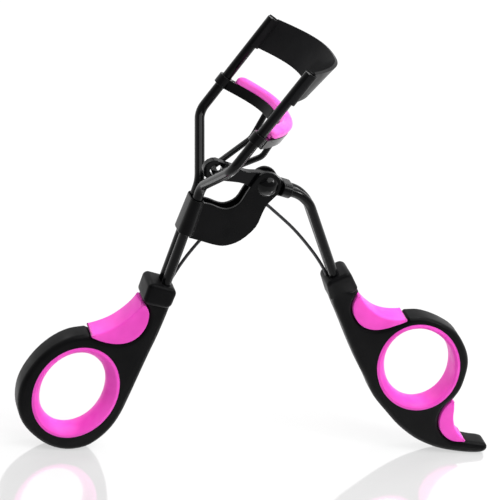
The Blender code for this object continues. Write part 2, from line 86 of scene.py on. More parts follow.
# lever, bracket, rivet and link
LEVER_HALF = 0.95
RIVET_R = 1.2
RIVET_HEAD_R, RIVET_HEAD_H = 2.55, 1.3
RIVET_TIGHT, RIVET_LOOSE = 0.02, 0.06     # clearance in the bracket and in the lever
SHEET = 0.85
BRACKET_IN = 1.10                         # half gap between the bracket's cheeks
SLEEVE_START, SLEEVE_END = 3.55, 12.8     # along the paired rods, below the bend
SLEEVE_R, SLEEVE_SWELL = 1.65, 0.3
PADDLE_MID, PADDLE_R = (-13.7, 3.1), 2.65
LINK_HOLE, LINK_HOLE_R = (-13.2, 3.1), 1.45
LINK_PIN, LINK_PIN_HALF = (-13.34, 2.6), 1.9
LINK_KNEE = (-4.2, 4.7, 9.4)
LINK_TOP_Y = 5.1                          # where the link leaves the channel
LINK_R = 0.72
LINK_BENDS = (3.2, 1.3, 1.3, 3.2)
COLLAR_START, COLLAR_END, COLLAR_R = -0.25, 2.2, 1.75
COLLAR_FLOOR = -0.06                      # the lever rods' bore ends here
LEVER_ROD_END, LEVER_ROD_BEND = 26.5, 7.5
SPRING_R, SPRING_BORE = 0.40, 0.50

# handles
GRIP_HALF, EDGE_R = 2.9, 1.25
BLOCK_HALF, BLOCK_CORNER, BLOCK_EDGE = 3.7, 1.6, 1.0
LEFT_SOCKET = (24.0, 34.3)                # along the frame rods, below their bend
RIGHT_SOCKET = (17.0, 26.8)               # along the lever rods, below their bend
LEFT_SPRING_END = (-19.25, -31.85)
RIGHT_SPRING_END = (22.80, -28.23)
RIM_W = 1.6
PAD_PROUD, PAD_EDGE = 0.12, 0.35
GAP = 0.04                                # between a soft piece and its seat

SLIDE = Vector((math.sin(SLANT), 0.0, math.cos(SLANT)))
BOW = Vector((math.cos(SLANT), 0.0, -math.sin(SLANT)))
DEPTH = Vector((0.0, 1.0, 0.0))


def combine(base, tool, operation):
    """Boolean one bmesh with another and give back the result."""
    items = []
    for label, bm in (("base", base), ("tool", tool)):
        bmesh.ops.recalc_face_normals(bm, faces=bm.faces)
        mesh = bpy.data.meshes.new(label)
        bm.to_mesh(mesh)
        bm.free()
        item = bpy.data.objects.new(label, mesh)
        bpy.context.scene.collection.objects.link(item)
        items.append(item)
    modifier = items[0].modifiers.new("boolean", "BOOLEAN")
    modifier.operation = operation
    modifier.solver = "EXACT"
    modifier.object = items[1]
    graph = bpy.context.evaluated_depsgraph_get()
    result = bmesh.new()
    result.from_mesh(items[0].evaluated_get(graph).to_mesh())
    for item in items:
        bpy.data.objects.remove(item, do_unlink=True)
    bmesh.ops.remove_doubles(result, verts=result.verts, dist=1e-4)
    bmesh.ops.dissolve_degenerate(result, edges=result.edges, dist=1e-4)
    return result


def curve_through(points, per):
    """Smooth open curve through the points (uniform Catmull-Rom), per steps a span."""
    pts = [Vector(p) for p in points]
    ends = [pts[0] * 2 - pts[1]] + pts + [pts[-1] * 2 - pts[-2]]
    out = []
    for i in range(1, len(ends) - 2):
        a, b, c, d = ends[i - 1:i + 3]
        for k in range(per):
            t = k / per
            out.append(0.5 * (2 * b + (c - a) * t + (2 * a - 5 * b + 4 * c - d) * t ** 2
                              + (3 * b - a - 3 * c + d) * t ** 3))
    return out + [pts[-1]]


def rounded(points, radius, steps=10):
    """Open polyline with every inner corner turned into an arc.

    A tuple of radii gives each inner corner its own.
    """
    pts = [Vector(p) for p in points]
    out = [pts[0]]
    radii = radius if isinstance(radius, tuple) else (radius,) * len(pts)
    for a, b, c, radius in zip(pts, pts[1:], pts[2:], radii):
        u, v = (a - b).normalized(), (c - b).normalized()
        half = u.angle(v) / 2
        cut = min(radius / math.tan(half), (a - b).length * 0.48, (c - b).length * 0.48)
        r = cut * math.tan(half)
        centre = b + (u + v).normalized() * (r / math.sin(half))
        p, q = b + u * cut - centre, b + v * cut - centre
        turn = p.angle(q)
        for k in range(steps + 1):
            t = k / steps
            out.append(centre + (p * math.sin((1 - t) * turn) + q * math.sin(t * turn))
                       / math.sin(turn))
    return out + [pts[-1]]


def tube(path, radius, seg=SEG):
    """Round bar along a 3-D path with flat ends."""
    path = [Vector(p) for p in path]
    bm = bmesh.new()
    side = None
    rings = []
    for i, p in enumerate(path):
        tangent = (path[min(i + 1, len(path) - 1)] - path[max(i - 1, 0)]).normalized()
        if side is None:
            side = tangent.cross(DEPTH if abs(tangent.y) < 0.9 else Vector((1, 0, 0)))
        side = (side - tangent * side.dot(tangent)).normalized()
        up = tangent.cross(side)
        rings.append([bm.verts.new(p + radius * (side * math.cos(a) + up * math.sin(a)))
                      for a in (2 * math.pi * k / seg for k in range(seg))])
    for one, two in zip(rings, rings[1:]):
        for k in range(seg):
            bm.faces.new((one[k], one[(k + 1) % seg], two[(k + 1) % seg], two[k]))
    bm.faces.new(rings[0][::-1])
    bm.faces.new(rings[-1])
    return bm


def inset(outline, amount):
    """Outline moved inwards by amount; outline runs anticlockwise."""
    out = []
    n = len(outline)
    for i in range(n):
        a, b, c = outline[i - 1], outline[i], outline[(i + 1) % n]
        n1 = Vector((-(b - a).y, (b - a).x)).normalized()
        n2 = Vector((-(c - b).y, (c - b).x)).normalized()
        mid = (n1 + n2).normalized()
        out.append(b + mid * min(amount / max(mid.dot(n1), 0.3), amount * 1.6))
    return out


def rounded_loop(points, radius):
    """Closed outline with every corner turned into an arc."""
    start = (Vector(points[0]) + Vector(points[-1])) / 2
    return rounded([start, *points, start], radius)[1:]


def slab(outline, low, high, edge=0.0, steps=6):
    """Plate between two depths with rounded rims."""
    flat = [Vector((p[0], p[1])) for p in outline]
    area = sum(a.x * b.y - b.x * a.y for a, b in zip(flat, flat[1:] + flat[:1]))
    if area < 0:
        flat.reverse()
    if edge:
        levels = [(low + edge * (1 - math.cos(math.pi / 2 * k / steps)),
                   edge * (1 - math.sin(math.pi / 2 * k / steps))) for k in range(steps + 1)]
        levels += [(high - (y - low), d) for y, d in reversed(levels)]
    else:
        levels = [(low, 0.0), (high, 0.0)]
    bm = bmesh.new()
    rings = []
    for y, d in levels:
        ring = inset(flat, d) if d else flat
        rings.append([bm.verts.new((p.x, y, p.y)) for p in ring])
    n = len(flat)
    for one, two in zip(rings, rings[1:]):
        for k in range(n):
            bm.faces.new((one[k], one[(k + 1) % n], two[(k + 1) % n], two[k]))
    bm.faces.new(rings[0][::-1])
    bm.faces.new(rings[-1])
    return bm


def ellipse(centre, semi, lean, count=96):
    """Points of a leaning ellipse in the plane of the handles."""
    c, s = math.cos(lean), math.sin(lean)
    out = []
    for k in range(count):
        a = 2 * math.pi * k / count
        u, v = semi[0] * math.cos(a), semi[1] * math.sin(a)
        out.append((centre[0] + u * c - v * s, centre[1] + u * s + v * c))
    return out


def ring_solid(centre, semi, lean, section, count=96):
    """Closed ring: section lists (inward offset, depth, sideways shift)."""
    bm = bmesh.new()
    loops = []
    for inward, y, aside in section:
        at = (centre[0] + aside, centre[1])
        pts = ellipse(at, (semi[0] - inward, semi[1] - inward), lean, count)
        loops.append([bm.verts.new((x, y, z)) for x, z in pts])
    m = len(loops)
    for i in range(m):
        one, two = loops[i], loops[(i + 1) % m]
        for k in range(count):
            bm.faces.new((one[k], one[(k + 1) % count], two[(k + 1) % count], two[k]))
    return bm


def dome(centre, radius, height, side, seg=40, steps=8):
    """Domed rivet head whose flat face lies at the given depth."""
    bm = bmesh.new()
    rings = []
    ball = (radius ** 2 + height ** 2) / (2 * height)
    span = math.asin(min(1.0, radius / ball))
    for i in range(steps):
        a = span * (1 - i / steps)
        r, h = ball * math.sin(a), height - ball + ball * math.cos(a)
        rings.append([bm.verts.new((centre.x + r * math.cos(t), centre.y + side * h,
                                    centre.z + r * math.sin(t)))
                      for t in (2 * math.pi * k / seg for k in range(seg))])
    for one, two in zip(rings, rings[1:]):
        for k in range(seg):
            bm.faces.new((one[k], one[(k + 1) % seg], two[(k + 1) % seg], two[k]))
    tip = bm.verts.new((centre.x, centre.y + side * height, centre.z))
    for k in range(seg):
        bm.faces.new((rings[-1][k], rings[-1][(k + 1) % seg], tip))
    bm.faces.new(rings[0])
    return bm


def along_y(x, z, low, high, radius, seg=48):
    """Round bar across the tool."""
    return tube([(x, low, z), (x, high, z)], radius, seg)


# ---------------------------------------------------------------- jaws
def bow(y):
    """Share of the full bow at depth y, 1 in the middle and 0 at the ends."""
    return max(0.0, 1 - abs(y / JAW_HALF) ** BOW_POWER) ** BOW_ROOT


def rod_foot(side):
    """Point of a jaw rod level with the rivet along the slide line."""
    bend = Vector((UPPER_BEND[0], side * ROD_Y, UPPER_BEND[1]))
    return bend - SLIDE * bend.dot(SLIDE)


BASE_B = rod_foot(1).dot(BOW)


def jaw_point(y, outward, height, reach, rise, shift=0.0):
    """Point beside the jaw line, moved out square to the bowed line."""
    step = 0.01
    slope = reach * (bow(y + step) - bow(y - step)) / (2 * step)
    normal = (BOW - DEPTH * slope).normalized()
    share = bow(y)
    return (DEPTH * y + BOW * (BASE_B + shift + reach * share) + normal * outward
            + SLIDE * (height + rise * share))


def jaw_sweep(section, half, count=64):
    """Sweep a section of jaw_point arguments along the jaw line."""
    bm = bmesh.new()
    rings = []
    for k in range(count + 1):
        y = half * math.sin(math.pi / 2 * (2 * k / count - 1))
        rings.append([bm.verts.new(jaw_point(y, *corner)) for corner in section])
    n = len(section)
    for one, two in zip(rings, rings[1:]):
        for k in range(n):
            bm.faces.new((one[k], one[(k + 1) % n], two[(k + 1) % n], two[k]))
    bm.faces.new(rings[0][::-1])
    bm.faces.new(rings[-1])
    return bm


def on_rod(side, low, high, radius, seg=48, shift=0.0):
    """Round bar along a jaw rod's line, between two heights."""
    foot = rod_foot(side) + BOW * shift
    return tube([foot + SLIDE * low, foot + SLIDE * high], radius, seg)


def upper_jaw():
    """Bowed, flared plate whose ends curl round the jaw rods."""
    half = PLATE_T / 2
    low = (PLATE_LOW, PLATE_BOW_LOW, PLATE_RISE_LOW)
    high = (PLATE_HIGH, PLATE_BOW_HIGH, PLATE_RISE_HIGH)
    section = [(-half, *low), (half, *low), (half, *high), (-half, *high)]
    body = jaw_sweep(section, PLATE_HALF)
    for side in (-1, 1):
        body = combine(body, on_rod(side, WRAP_LOW, WRAP_HIGH, WRAP_R, shift=WRAP_SHIFT),
                       "UNION")
    for side in (-1, 1):
        body = combine(body, on_rod(side, PLATE_LOW - DRILL, PLATE_HIGH + DRILL, BORE_FIXED),
                       "DIFFERENCE")
    return body


def carrier_section(corners):
    """Section corners with the bow, rise and shift of the lower jaw."""
    return [(u, h, CARRIER_BOW, CARRIER_RISE, CARRIER_SHIFT) for u, h in corners]


def lower_jaw():
    """Bowed channel with an eye round each jaw rod."""
    half, wall = CHANNEL_W / 2, CHANNEL_WALL
    low, high = CHANNEL_LOW, CHANNEL_HIGH
    section = [(-half, low), (half, low), (half, high), (half - wall, high),
               (half - wall, low + wall), (wall - half, low + wall), (wall - half, high),
               (-half, high)]
    body = jaw_sweep(carrier_section(section), CHANNEL_HALF)
    for side in (-1, 1):
        body = combine(body, on_rod(side, EYE_LOW, EYE_HIGH, EYE_R), "UNION")
    for side in (-1, 1):
        body = combine(body, on_rod(side, EYE_LOW - DRILL, EYE_HIGH + DRILL, EYE_BORE),
                       "DIFFERENCE")
    return body


def soft_pad():
    """Cushion with a domed top and rounded ends; its root sits in the channel."""
    neck = CHANNEL_W / 2 - CHANNEL_WALL - GAP
    low, lip, high = CHANNEL_LOW + CHANNEL_WALL + GAP, CHANNEL_HIGH + GAP, PAD_TOP
    foot, crown = 0.25, 0.95                  # radii of its lower and upper edges
    tip, blunt = 1.1, 0.12                    # length of a rounded end, its smallest share
    count = 96
    right = [(neck, low), (neck, lip)]
    for k in range(5):
        a = math.pi / 8 * k
        right.append((PAD_HALF - foot * (1 - math.sin(a)), lip + foot * (1 - math.cos(a))))
    for k in range(10):
        a = math.pi / 20 * k
        right.append((PAD_HALF * math.cos(a), high - crown * (1 - math.sin(a))))
    section = right + [(-u, h) for u, h in reversed(right)]
    middle = (lip + high) / 2
    bm = bmesh.new()
    rings = []
    for k in range(count + 1):
        y = PAD_REACH * math.sin(math.pi / 2 * (2 * k / count - 1))
        deep = max(0.0, abs(y) - (PAD_REACH - tip)) / tip
        size = max(blunt, math.sqrt(1 - min(1.0, deep) ** 2))
        rings.append([bm.verts.new(jaw_point(y, u * size, middle + (h - middle) * size,
                                             CARRIER_BOW, CARRIER_RISE, CARRIER_SHIFT))
                      for u, h in section])
    n = len(section)
    for one, two in zip(rings, rings[1:]):
        for k in range(n):
            bm.faces.new((one[k], one[(k + 1) % n], two[(k + 1) % n], two[k]))
    bm.faces.new(rings[0][::-1])
    bm.faces.new(rings[-1])
    return bm


# ---------------------------------------------------------------- frame
def shank_point(distance):
    """Point of the paired rods' line, a distance below the lower bend."""
    return (LOWER_BEND[0] - math.sin(SHANK) * distance,
            LOWER_BEND[1] - math.cos(SHANK) * distance)


def frame_rod(side):
    """Rod from the upper jaw, bent inwards, down into the left handle."""
    foot = rod_foot(side)
    end = shank_point(ROD_END)
    corner = [foot + SLIDE * ROD_TOP,
              (UPPER_BEND[0], side * ROD_Y, UPPER_BEND[1]),
              (LOWER_BEND[0], side * ROD_PAIR_Y, LOWER_BEND[1]),
              (end[0], side * ROD_PAIR_Y, end[1])]
    return tube(rounded(corner, ROD_BEND), ROD_R)


def stadium_bar(start, end, radius, half, seg=20, swell=0.0):
    """Bar with a rounded-slot section, wide in depth, thicker by swell at its end."""
    axis = Vector((end[0] - start[0], 0, end[1] - start[1])).normalized()
    across = Vector((axis.z, 0, -axis.x))
    bm = bmesh.new()
    rings = []
    for p, r in ((start, radius), (end, radius + swell)):
        at = Vector((p[0], 0, p[1]))
        ring = []
        for centre, first in ((half, 0.0), (-half, math.pi)):
            for k in range(seg + 1):
                a = first + math.pi * k / seg
                ring.append(bm.verts.new(at + across * (r * math.cos(a))
                                         + DEPTH * (centre + r * math.sin(a))))
        rings.append(ring)
    n = len(rings[0])
    for k in range(n):
        bm.faces.new((rings[0][k], rings[0][(k + 1) % n], rings[1][(k + 1) % n], rings[1][k]))
    bm.faces.new(rings[0][::-1])
    bm.faces.new(rings[1])
    return bm


CHEEK = curve_through([(-15.6, -5.1), (-13.0, -5.45), (-10.1, -6.4), (-8.1, -6.3), (-6.1, -4.9),
                       (-5.0, -2.2), (-4.2, -0.2)], 3)
EAR = curve_through([(-3.6, 1.2), (-3.0, 2.4), (-2.0, 3.3), (-0.8, 3.75), (0.5, 3.6), (1.7, 3.0),
                     (2.7, 1.9), (3.2, 0.7), (3.3, -0.6), (3.0, -1.7), (2.3, -2.7)], 2)
CHEEK_LOW = curve_through([(1.7, -3.5), (0.85, -4.8), (0.2, -6.9), (-0.75, -11.0), (-3.75, -14.7),
                           (-7.1, -16.35), (-9.9, -16.3), (-13.2, -15.5), (-17.0, -14.6)], 3)


def hinge_bracket():
    """Sheet folded round the paired rods, with a near and a far cheek."""
    top, bottom = shank_point(SLEEVE_START), shank_point(SLEEVE_END)
    body = stadium_bar(top, bottom, SLEEVE_R, ROD_PAIR_Y, swell=SLEEVE_SWELL)
    for side in (-1, 1):
        low, high = sorted((side * BRACKET_IN, side * (BRACKET_IN + SHEET)))
        body = combine(body, slab(CHEEK + EAR + CHEEK_LOW, low, high), "UNION")
    bore = stadium_bar(shank_point(0.6), shank_point(16.0), BORE_FIXED, ROD_PAIR_Y)
    body = combine(body, bore, "DIFFERENCE")
    slot = slab([(-15.3, -1.0), (-12.0, -1.0), (-12.0, -18.5), (-17.5, -18.5)],
                -BRACKET_IN, BRACKET_IN)
    body = combine(body, slot, "DIFFERENCE")
    return combine(body, along_y(0, 0, -4, 4, RIVET_R + RIVET_TIGHT), "DIFFERENCE")


def rivet():
    """Hinge pin with a domed head at each end."""
    out = BRACKET_IN + SHEET + RIVET_TIGHT
    body = along_y(0, 0, -out - 0.1, out + 0.1, RIVET_R, 32)
    for side in (-1, 1):
        body = combine(body, dome(Vector((0, side * out, 0)), RIVET_HEAD_R, RIVET_HEAD_H, side),
                       "UNION")
    return body


SPRING_PATH = [(-19.2, -31.6), (-18.4, -27.4), (-16.3, -21.9), (-13.2, -16.1), (-9.4, -10.6),
               (-5.4, -6.5), (-2.2, -5.0), (0.95, -5.5), (4.2, -7.7), (9.5, -11.8),
               (14.1, -16.1), (18.1, -20.4), (21.2, -24.6), (22.7, -28.0)]


def return_spring():
    """Thin wire bowed from handle to handle."""
    path = [(p.x, 0.0, p.y) for p in curve_through(SPRING_PATH, 4)]
    return tube(path, SPRING_R, 10)


# ---------------------------------------------------------------- lever
LEVER_TOP = curve_through([(-11.0, 4.95), (-8.3, 4.2), (-5.6, 3.2), (-2.4, 3.2), (1.0, 2.9),
                           (4.0, 1.2)], 3)
LEVER_LOW = curve_through([(4.0, -2.6), (1.0, -3.0), (-2.2, -2.3), (-5.6, -0.1), (-10.0, 0.35),
                           (-12.6, 0.45)], 3)
LEVER_START, LEVER_KNEE, LEVER_BEND = (3.9, -0.7), (8.7, -1.85), (11.7, -4.3)
LEVER_DIR = math.radians(29.0)


def lever_outline():
    """Round paddle, waist and hub."""
    first, step = 262, 22                     # degrees round the paddle
    paddle = []
    for k in range(9):
        a = math.radians(first - k * step)
        paddle.append(Vector((PADDLE_MID[0] + PADDLE_R * math.cos(a),
                              PADDLE_MID[1] + PADDLE_R * math.sin(a))))
    return paddle + LEVER_TOP + LEVER_LOW


def lever_end(distance):
    """Point of the lever rods' line, a distance below their bend."""
    return (LEVER_BEND[0] + math.sin(LEVER_DIR) * distance,
            LEVER_BEND[1] - math.cos(LEVER_DIR) * distance)


def collar_point(distance):
    """Point of the lever rods' line, a distance from their upper end."""
    run = (Vector(LEVER_KNEE) - Vector(LEVER_START)).normalized()
    return Vector(LEVER_START) + run * distance


def lever_plate():
    """Flat lever with the link's hole, the rivet's hole and the rods' collar."""
    body = slab(lever_outline(), -LEVER_HALF, LEVER_HALF)
    collar = stadium_bar(collar_point(COLLAR_START), collar_point(COLLAR_END), COLLAR_R,
                         ROD_PAIR_Y)
    body = combine(body, collar, "UNION")
    bore = stadium_bar(collar_point(COLLAR_FLOOR), collar_point(5), BORE_FIXED, ROD_PAIR_Y)
    body = combine(body, bore, "DIFFERENCE")
    body = combine(body, along_y(LINK_HOLE[0], LINK_HOLE[1], -2, 2, LINK_HOLE_R), "DIFFERENCE")
    return combine(body, along_y(0, 0, -2, 2, RIVET_R + RIVET_LOOSE), "DIFFERENCE")


def lever_rod(side):
    """Rod from the collar down into the right handle."""
    y = side * ROD_PAIR_Y
    path = [(x, y, z) for x, z in (LEVER_START, LEVER_KNEE, LEVER_BEND,
                                   lever_end(LEVER_ROD_END))]
    return tube(rounded(path, LEVER_ROD_BEND), ROD_R)


def link_yoke():
    """Bent wire from the channel through the lever's end and back up."""
    top = jaw_point(LINK_TOP_Y, 0.0, CHANNEL_LOW - 0.12, CARRIER_BOW, CARRIER_RISE,
                    CARRIER_SHIFT)
    half = [top, Vector(LINK_KNEE), Vector((LINK_PIN[0], LINK_PIN_HALF, LINK_PIN[1]))]
    far = [Vector((p.x, -p.y, p.z)) for p in reversed(half)]
    return tube(rounded(half + far, LINK_BENDS), LINK_R, 20)


# ---------------------------------------------------------------- handles
# block: corners of the rod block; outer, tail_seat, crown and seat: the outline, in
# order from top; saddle and tail_saddle: the pads' hollow faces; eye: the finger hole
# as (centre, half axes, lean); belly: how much thicker and further aside the liner is
# at mid-depth; taper: where the block starts and ends, and its half depth there
LEFT = {
    "block": [(-24.5, -26.6), (-17.1, -28.4), (-18.1, -33.8), (-25.3, -32.4)],
    "top": (-24.1, -27.9),
    "outer": [(-17.7, -29.4), (-18.0, -33.7), (-19.4, -41.4), (-20.8, -47.3), (-22.2, -53.6),
              (-23.6, -60.0), (-24.8, -64.8), (-26.4, -68.7), (-28.9, -72.2), (-32.2, -74.8),
              (-36.9, -75.7), (-41.6, -74.5), (-45.8, -71.6), (-49.0, -68.0), (-50.8, -63.9),
              (-51.3, -59.5), (-50.75, -55.5), (-49.1, -51.4), (-46.9, -47.95), (-44.0, -45.0),
              (-40.6, -43.0), (-36.9, -42.2)],
    "seat": [(-36.9, -42.2), (-33.5, -43.6), (-30.0, -44.25), (-26.9, -43.8), (-24.5, -42.1),
             (-23.05, -39.3), (-22.8, -36.3), (-23.35, -34.3), (-24.9, -32.2)],
    "saddle": [(-24.9, -32.2), (-26.2, -34.7), (-28.2, -37.2), (-30.8, -39.5), (-33.8, -41.1),
               (-36.9, -42.2)],
    "eye": ((-37.3, -58.6), (13.2, 10.76), math.radians(86.6)),
    "belly": (0.95, -0.35),
}
RIGHT = {
    "block": [(20.0, -24.8), (25.6, -21.4), (29.8, -27.4), (23.1, -31.0)],
    "top": (20.8, -26.2),
    "outer": [(20.8, -26.2), (23.9, -31.8), (26.8, -36.4), (30.8, -43.0), (34.5, -48.75),
              (38.0, -53.75), (41.1, -58.4), (45.6, -63.0), (50.4, -67.5), (55.7, -71.2),
              (60.2, -73.3), (64.4, -74.6), (69.4, -75.4), (73.6, -75.7), (76.0, -75.5),
              (77.2, -74.8), (77.45, -73.8), (76.8, -72.95), (75.3, -72.55), (73.3, -72.35),
              (70.8, -71.9)],
    "tail_seat": [(70.8, -71.9), (66.8, -71.7), (64.15, -70.4), (62.2, -68.4), (61.15, -65.85),
                  (61.05, -63.1), (61.9, -60.7), (63.7, -58.6)],
    "crown": [(63.7, -58.6), (64.85, -55.7), (65.2, -51.6), (64.9, -47.7), (63.75, -44.6),
              (61.75, -41.5), (59.1, -38.6), (55.7, -36.6), (52.2, -35.2), (48.6, -34.4),
              (45.0, -34.6)],
    "seat": [(45.0, -34.6), (44.45, -35.25), (43.2, -36.0), (41.4, -36.75), (39.3, -37.6),
             (36.6, -38.15), (34.0, -37.8), (31.9, -36.65), (30.2, -34.85), (29.1, -32.75),
             (28.8, -30.4), (29.6, -27.5)],
    "saddle": [(29.6, -27.5), (31.2, -29.8), (33.6, -32.0), (36.5, -33.8), (39.6, -34.7),
               (42.4, -34.8), (45.0, -34.6)],
    "tail_saddle": [(63.7, -58.6), (64.45, -61.6), (65.05, -64.8), (66.9, -68.5), (70.8, -71.9)],
    "taper": ((22.8, -23.1), (26.45, -29.2), 2.55),
    "eye": ((51.1, -49.1), (13.8, 10.9), math.radians(122.8)),
    "belly": (0.35, 0.6),
}


def grip(shape, order, spring, sockets):
    """Handle body: ring, neck and rod block, with its eye and sockets cut."""
    outline = [Vector(shape["top"])]
    for key in order:
        pts = curve_through(shape[key], 3)
        outline += pts[1:] if (outline[-1] - pts[0]).length < 1e-6 else pts
    if (outline[0] - outline[-1]).length < 1e-6:
        outline.pop()
    body = slab(outline, -GRIP_HALF, GRIP_HALF, EDGE_R)
    block = slab(rounded_loop(shape["block"], BLOCK_CORNER), -BLOCK_HALF, BLOCK_HALF,
                 BLOCK_EDGE)
    if "taper" in shape:
        start, end, thin = shape["taper"]
        top, run = Vector(start), Vector(end) - Vector(start)
        for v in block.verts:
            down = (Vector((v.co.x, v.co.z)) - top).dot(run) / run.length_squared
            v.co.y *= 1 - down * (1 - thin / BLOCK_HALF)
    body = combine(body, block, "UNION")
    centre, semi, lean = shape["eye"]
    body = combine(body, slab(ellipse(centre, semi, lean), -5, 5), "DIFFERENCE")
    body = combine(body, stadium_bar(sockets[0], sockets[1], BORE_FIXED, ROD_PAIR_Y),
                   "DIFFERENCE")
    return combine(body, tube([(p[0], 0, p[1]) for p in spring], SPRING_BORE, 12),
                   "DIFFERENCE")


def spaced(points, count):
    """Points spread evenly along a polyline."""
    runs = [0.0]
    for p, q in zip(points, points[1:]):
        runs.append(runs[-1] + (q - p).length)
    out, k = [], 0
    for i in range(count):
        want = runs[-1] * i / (count - 1)
        while k < len(points) - 2 and runs[k + 1] < want:
            k += 1
        share = (want - runs[k]) / max(runs[k + 1] - runs[k], 1e-9)
        out.append(points[k].lerp(points[k + 1], min(1.0, share)))
    return out


def crescent(saddle, seat, count=26):
    """Soft pad between its hollow face and its seat in the handle."""
    front = spaced(curve_through(saddle, 5), count)
    back = spaced(curve_through(list(reversed(seat)), 5), count)
    h = GRIP_HALF + PAD_PROUD
    bm = bmesh.new()
    rings = []
    for a, b in list(zip(front, back))[1:-1]:
        deep = (b - a).length - GAP
        way = (b - a).normalized()
        e = min(PAD_EDGE, deep * 0.3)
        loop = [(0, e - h), (0.3 * e, 0.3 * e - h), (e, -h), (deep, -h), (deep, h), (e, h),
                (0.3 * e, h - 0.3 * e), (0, h - e)]
        rings.append([bm.verts.new((a.x + way.x * u, y, a.y + way.y * u)) for u, y in loop])
    n = len(rings[0])
    for one, two in zip(rings, rings[1:]):
        for k in range(n):
            bm.faces.new((one[k], one[(k + 1) % n], two[(k + 1) % n], two[k]))
    bm.faces.new(rings[0][::-1])
    bm.faces.new(rings[-1])
    return bm


def liner(shape):
    """Soft ring that lines a finger hole, bellied inwards."""
    centre, semi, lean = shape["eye"]
    more, aside = shape["belly"]
    w, h = RIM_W, GRIP_HALF
    front = [(GAP, -h, 0.0), (w * 0.45, -h - 0.1, 0.0), (w * 0.85, -h + 0.25, 0.1 * aside),
             (w + 0.4 * more, -h + 0.9, 0.5 * aside), (w + 0.1 + 0.9 * more, -1.0, 0.9 * aside)]
    section = (front + [(w + 0.1 + more, 0.0, aside)]
               + [(inward, -y, shift) for inward, y, shift in reversed(front)])
    return ring_solid(centre, semi, lean, section)


# ---------------------------------------------------------------- materials
def start_look(name, colour, roughness):
    """New node material with its shader and its object coordinates."""
    mat = bpy.data.materials.new(name)
    mat.use_nodes = True
    mat.diffuse_color = (*colour, 1.0)
    tree = mat.node_tree
    shader = tree.nodes["Principled BSDF"]
    shader.inputs["Base Color"].default_value = (*colour, 1.0)
    shader.inputs["Roughness"].default_value = roughness
    place = tree.nodes.new("ShaderNodeTexCoord").outputs["Object"]
    return mat, tree, shader, place


def noise(tree, place, scale, detail=3.0, rough=0.5):
    """Noise in object metres: scale is how many patches there are in a metre."""
    item = tree.nodes.new("ShaderNodeTexNoise")
    item.inputs["Scale"].default_value = scale
    item.inputs["Detail"].default_value = detail
    item.inputs["Roughness"].default_value = rough
    tree.links.new(place, item.inputs["Vector"])
    return item.outputs["Fac"]


def spread(tree, value, low, high):
    """Stretch the usual range of a noise over another range."""
    item = tree.nodes.new("ShaderNodeMapRange")
    item.inputs["From Min"].default_value = 0.3
    item.inputs["From Max"].default_value = 0.7
    item.inputs["To Min"].default_value = low
    item.inputs["To Max"].default_value = high
    tree.links.new(value, item.inputs["Value"])
    return item.outputs["Result"]


def between(tree, value, one, two):
    """Colour that drifts from one to two with the value."""
    item = tree.nodes.new("ShaderNodeValToRGB")
    for stop, at, colour in zip(item.color_ramp.elements, (0.35, 0.65), (one, two)):
        stop.position, stop.color = at, (*colour, 1)
    tree.links.new(value, item.inputs["Fac"])
    return item.outputs["Color"]


def bumps(tree, shader, layers):
    """Stack bump layers of (height, distance in metres, strength)."""
    last = None
    for height, distance, strength in layers:
        item = tree.nodes.new("ShaderNodeBump")
        item.inputs["Distance"].default_value = distance
        item.inputs["Strength"].default_value = strength
        tree.links.new(height, item.inputs["Height"])
        if last:
            tree.links.new(last, item.inputs["Normal"])
        last = item.outputs["Normal"]
    tree.links.new(last, shader.inputs["Normal"])


def lacquer(name, dark=(0.0015, 0.0015, 0.0018), light=(0.003, 0.003, 0.0033),
            gloss=(0.16, 0.27), edge=0.5, coat=0.16):
    """Black lacquer on steel: slight orange peel, cloudy gloss, fine dust in the film."""
    mat, tree, shader, place = start_look(name, light, 0.28)
    tree.links.new(between(tree, noise(tree, place, 160.0), dark, light),
                   shader.inputs["Base Color"])
    tree.links.new(spread(tree, noise(tree, place, 420.0, 4.0), *gloss),
                   shader.inputs["Roughness"])
    shader.inputs["Specular IOR Level"].default_value = edge
    shader.inputs["Specular Tint"].default_value = (0.08, 0.08, 0.08, 1.0)
    shader.inputs["Coat Weight"].default_value = coat
    shader.inputs["Coat Roughness"].default_value = 0.07
    bumps(tree, shader, [(noise(tree, place, 900.0, 2.0), 0.00002, 0.25),
                         (noise(tree, place, 5200.0, 2.0), 0.000006, 0.1)])
    return mat


def moulded(name):
    """Black moulded plastic: fine spark-eroded grain with a soft cloudy sheen."""
    mat, tree, shader, place = start_look(name, (0.003, 0.003, 0.0032), 0.42)
    tree.links.new(between(tree, noise(tree, place, 120.0), (0.0022, 0.0022, 0.0025),
                           (0.0038, 0.0038, 0.0041)), shader.inputs["Base Color"])
    tree.links.new(spread(tree, noise(tree, place, 260.0, 4.0), 0.36, 0.5),
                   shader.inputs["Roughness"])
    shader.inputs["Specular Tint"].default_value = (0.16, 0.16, 0.16, 1.0)
    shader.inputs["Specular IOR Level"].default_value = 0.2
    bumps(tree, shader, [(noise(tree, place, 3600.0, 3.0, 0.6), 0.00002, 0.35),
                         (noise(tree, place, 300.0, 2.0), 0.00005, 0.15)])
    return mat


